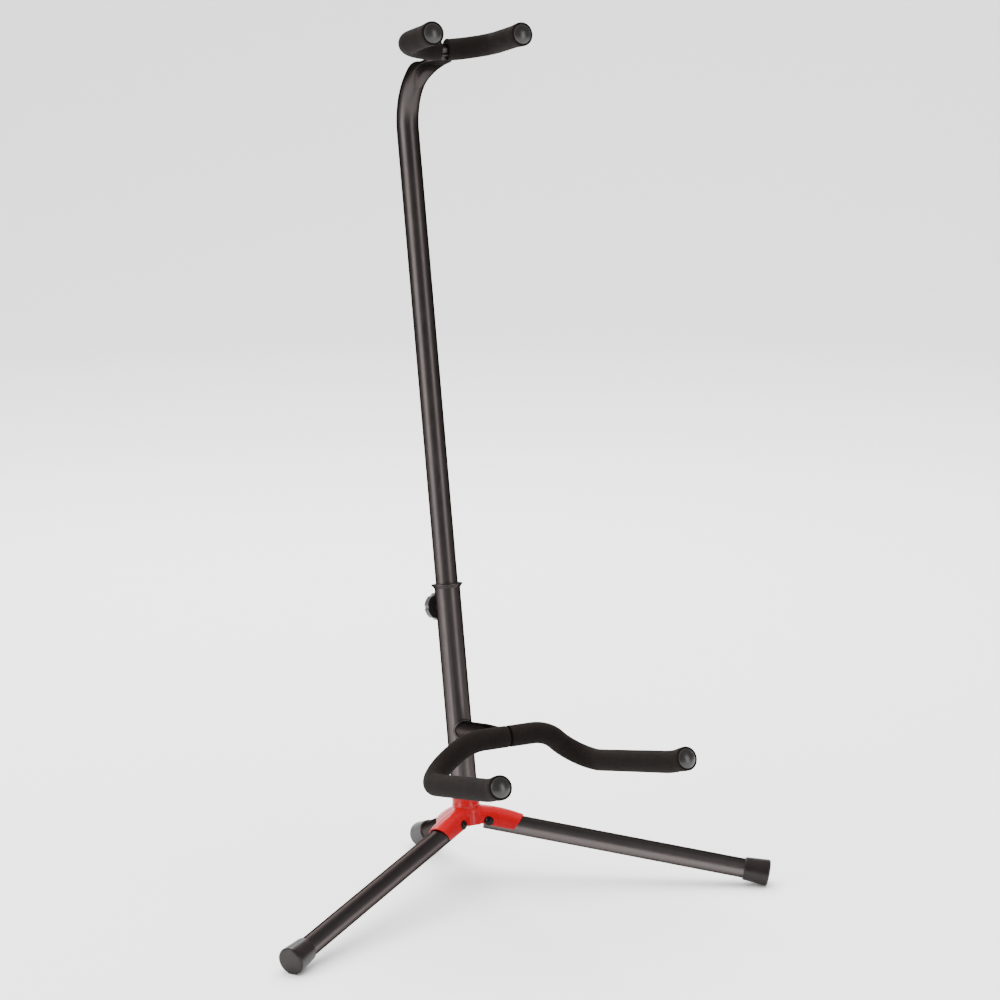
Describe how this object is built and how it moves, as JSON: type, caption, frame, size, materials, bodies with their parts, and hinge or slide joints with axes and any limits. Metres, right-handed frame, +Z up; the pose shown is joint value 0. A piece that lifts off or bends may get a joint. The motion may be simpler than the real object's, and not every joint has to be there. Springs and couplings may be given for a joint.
{
  "type": "guitar stand",
  "caption": "Folding tubular guitar stand with a telescoping post, foam-sleeved body and neck yokes, a lobed clamp knob and a pressed steel hub with folding legs",
  "frame": {"origin": "the middle of the overall box in plan, at floor level", "axes": "+Z up, -Y the front that the yokes and the two long legs point to, +X the stand's right seen from the front"},
  "size_m": [0.5166, 0.3991, 0.828],
  "materials": {
    "black_paint": "satin black powder coat",
    "red_paint": "glossy red enamel",
    "foam": "matte closed-cell foam",
    "black_rubber": "matte rubber",
    "black_plastic": "satin moulded plastic",
    "black_enamel": "glossy black rivet heads",
    "zinc": "zinc-plated screw"
  },
  "bodies": {
    "stand": {"hub": "red_paint", "lower_tube": "black_paint", "tube_bush": "black_plastic", "clamp_boss": "black_paint", "yoke_stub": "black_paint", "body_rod": "black_paint", "body_foam_left": "foam", "body_foam_right": "foam", "body_cap_left": "black_plastic", "body_cap_right": "black_plastic", "front_left_rivet": "black_enamel", "front_right_rivet": "black_enamel", "rear_rivet": "black_enamel"},
    "slider": {"guide_plug": "black_plastic"},
    "neck": {"upper_tube": "black_paint", "neck_rod": "black_paint", "neck_foam_left": "foam", "neck_foam_right": "foam", "neck_cap_left": "black_plastic", "neck_cap_right": "black_plastic"},
    "screw": {"clamp_screw": "zinc"},
    "knob": {"clamp_knob": "black_plastic"},
    "front_left_leg": {"front_left_leg": "black_paint", "front_left_foot": "black_rubber"},
    "front_right_leg": {"front_right_leg": "black_paint", "front_right_foot": "black_rubber"},
    "rear_leg": {"rear_leg": "black_paint", "rear_foot": "black_rubber"}
  },
  "joints": [
    {"name": "height_slide", "type": "slide", "parent": "stand", "child": "slider", "axis": [0, 0.1874, 0.9823], "range_m": [-0.1, 0.05]},
    {"name": "neck_swivel", "type": "hinge", "parent": "slider", "child": "neck", "pos_m": [0, 0.08312, 0.17821], "axis": [0, 0.1874, 0.9823], "continuous": true},
    {"name": "screw_feed", "type": "slide", "parent": "stand", "child": "screw", "axis": [0, 0.9823, -0.1874], "range_m": [0, 0.0038]},
    {"name": "knob_turn", "type": "hinge", "parent": "screw", "child": "knob", "pos_m": [0, 0.12141, 0.26151], "axis": [0, 0.9823, -0.1874], "range_deg": [0, 1080]},
    {"name": "front_left_fold", "type": "hinge", "parent": "stand", "child": "front_left_leg", "pos_m": [-0.01905, 0.0492, 0.05906], "axis": [0.5, -0.8507, 0.1623], "range_deg": [0, 75]},
    {"name": "front_right_fold", "type": "hinge", "parent": "stand", "child": "front_right_leg", "pos_m": [0.01905, 0.0492, 0.05906], "axis": [0.5, 0.8507, -0.1623], "range_deg": [0, 75]},
    {"name": "rear_fold", "type": "hinge", "parent": "stand", "child": "rear_leg", "pos_m": [0, 0.08161, 0.05288], "axis": [-1, 0, 0], "range_deg": [0, 75]}
  ],
  "couplings": [
    {"joint": "screw_feed", "follows": "knob_turn", "m_per_rad": 0.00019894}
  ]
}
